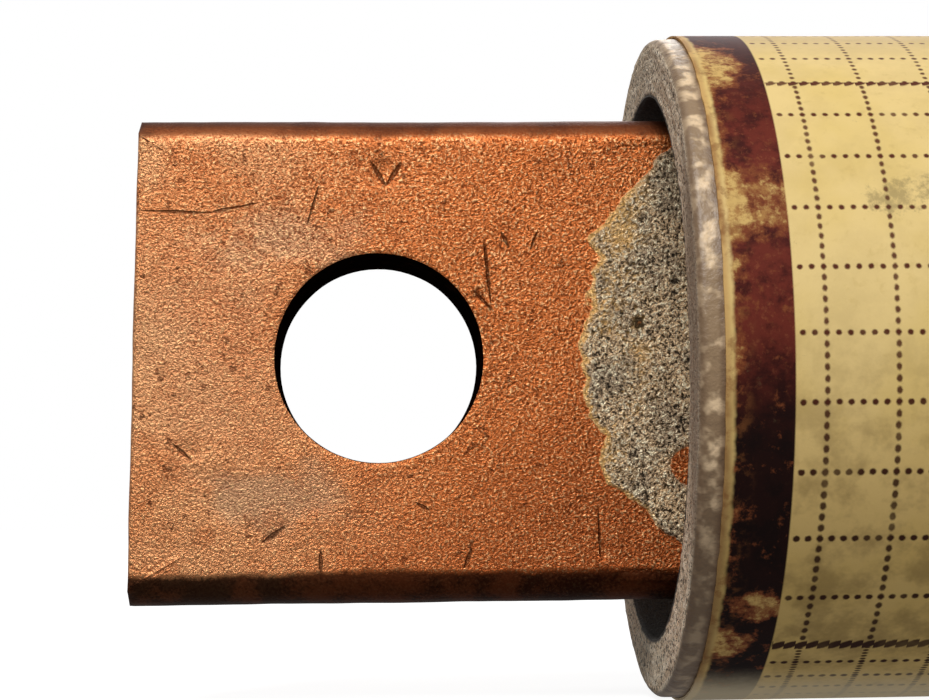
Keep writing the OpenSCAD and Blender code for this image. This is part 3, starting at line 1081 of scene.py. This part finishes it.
label_finish = label.surface(
    base_color=papery,
    roughness=0.65,
    specular_ior_level=0.12,
    normal=label.bump(label.grain(0.12, 3, 0.6) * 0.5 + wear * 0.4, 0.03, 0.6),
)
wrapper = add_piece("label_wrap", bm, label_finish, 50)
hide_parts("paper_label")

# ---- Studio ----
# A pale floor under the fuse and a pale surround, one big soft lamp above in front and a weaker one
# behind, and the camera.

FLOOR_HALF = 3.0
FLOOR_GLOW = 0.22
FLOOR_SEEN_GLOW = (0.9, 1.0)
FLOOR_FADE = (100, 350)
FLOOR_SHADE = (0.08, 0.3)
SKY_FILL = 0.07
SKY_GLOSS = 0.53

bm = bmesh.new()
bmesh.ops.create_grid(bm, x_segments=8, y_segments=8, size=FLOOR_HALF)
bmesh.ops.translate(bm, verts=bm.verts, vec=(0, 0, cad_box[0].z))
chalk = Finish("pale_floor")
in_view = chalk.node("ShaderNodeLightPath", output="Is Camera Ray")
away = chalk.node("ShaderNodeVectorMath", {"operation": "LENGTH"}, {0: chalk.place}, output="Value")
seen_glow = chalk.node("ShaderNodeMapRange", {}, {
    "Value": away, "From Min": FLOOR_FADE[0], "From Max": FLOOR_FADE[1],
    "To Min": FLOOR_SEEN_GLOW[0], "To Max": FLOOR_SEEN_GLOW[1]})
glow = chalk.node("ShaderNodeMix", {}, {"Factor": in_view, "A": FLOOR_GLOW, "B": seen_glow})
shade = chalk.node("ShaderNodeMapRange", {}, {
    "Value": in_view, "To Min": FLOOR_SHADE[0], "To Max": FLOOR_SHADE[1]})
matt = chalk.node("ShaderNodeBsdfDiffuse", {}, {"Color": shade})
lit = chalk.node("ShaderNodeEmission", {}, {"Strength": glow})
both = chalk.node("ShaderNodeAddShader", {}, {0: matt, 1: lit})
chalk.node("ShaderNodeOutputMaterial", {}, {"Surface": both})
floor_mesh = bpy.data.meshes.new("floor")
bm.to_mesh(floor_mesh)
bm.free()
floor_mesh.materials.append(chalk.owner)
floor = bpy.data.objects.new("floor", floor_mesh)
bpy.context.scene.collection.objects.link(floor)

sky = Finish("surround", bpy.data.worlds)
in_view = sky.node("ShaderNodeLightPath", output="Is Camera Ray")
in_gloss = sky.node("ShaderNodeLightPath", output="Is Glossy Ray")
white = (1.0, 1.0, 1.0, 1.0)
seen = sky.node("ShaderNodeBackground", {}, {"Color": white, "Strength": 1.0})
unseen = sky.node("ShaderNodeBackground", {}, {"Color": white, "Strength": in_gloss * SKY_GLOSS + SKY_FILL})
either = sky.node("ShaderNodeMixShader", {}, {0: in_view, 1: unseen, 2: seen})
sky.node("ShaderNodeOutputWorld", {}, {"Surface": either})
bpy.context.scene.world = sky.owner

LAMP_SIZE = 0.5
LAMP_DISTANCE = 0.8
FRONT_HEIGHT = math.radians(47)
FRONT_SIDE = math.radians(-18)
FRONT_POWER = 5.6
FRONT_SHIFT = Vector((-0.03, 0, 0))
BACK_POWER = 2.2
BACK_AIM = Vector((0.3, 0.75, 0.6))
front_aim = Vector((math.sin(FRONT_SIDE) * math.cos(FRONT_HEIGHT),
                    -math.cos(FRONT_SIDE) * math.cos(FRONT_HEIGHT),
                    math.sin(FRONT_HEIGHT)))
back_aim = BACK_AIM.normalized()

for name, power, aim, shift in (
        ("soft_lamp", FRONT_POWER, front_aim, FRONT_SHIFT),
        ("back_lamp", BACK_POWER, back_aim, Vector((0, 0, 0)))):
    lamp_data = bpy.data.lights.new(name, "AREA")
    lamp_data.shape = "DISK"
    lamp_data.size = LAMP_SIZE
    lamp_data.energy = power
    lamp = bpy.data.objects.new(name, lamp_data)
    lamp.location = aim * LAMP_DISTANCE + shift
    lamp.rotation_euler = aim.to_track_quat("Z", "Y").to_euler()
    bpy.context.scene.collection.objects.link(lamp)

CAMERA_PLACE = Vector((-41.51, -103.65, -7.97)) * MM
CAMERA_TURN = (94.9645, 0.6640, -2.6227)
CAMERA_LENS = 75.43
CAMERA_SENSOR = 36
CAMERA_NEAREST = 0.005
CAMERA_FARTHEST = 20

camera_data = bpy.data.cameras.new("camera")
camera_data.lens = CAMERA_LENS
camera_data.sensor_width = CAMERA_SENSOR
camera_data.clip_start = CAMERA_NEAREST
camera_data.clip_end = CAMERA_FARTHEST
camera = bpy.data.objects.new("camera", camera_data)
camera.location = CAMERA_PLACE
camera.rotation_euler = tuple(math.radians(a) for a in CAMERA_TURN)
bpy.context.scene.collection.objects.link(camera)
bpy.context.scene.camera = camera
bpy.context.scene.view_settings.view_transform = "Standard"
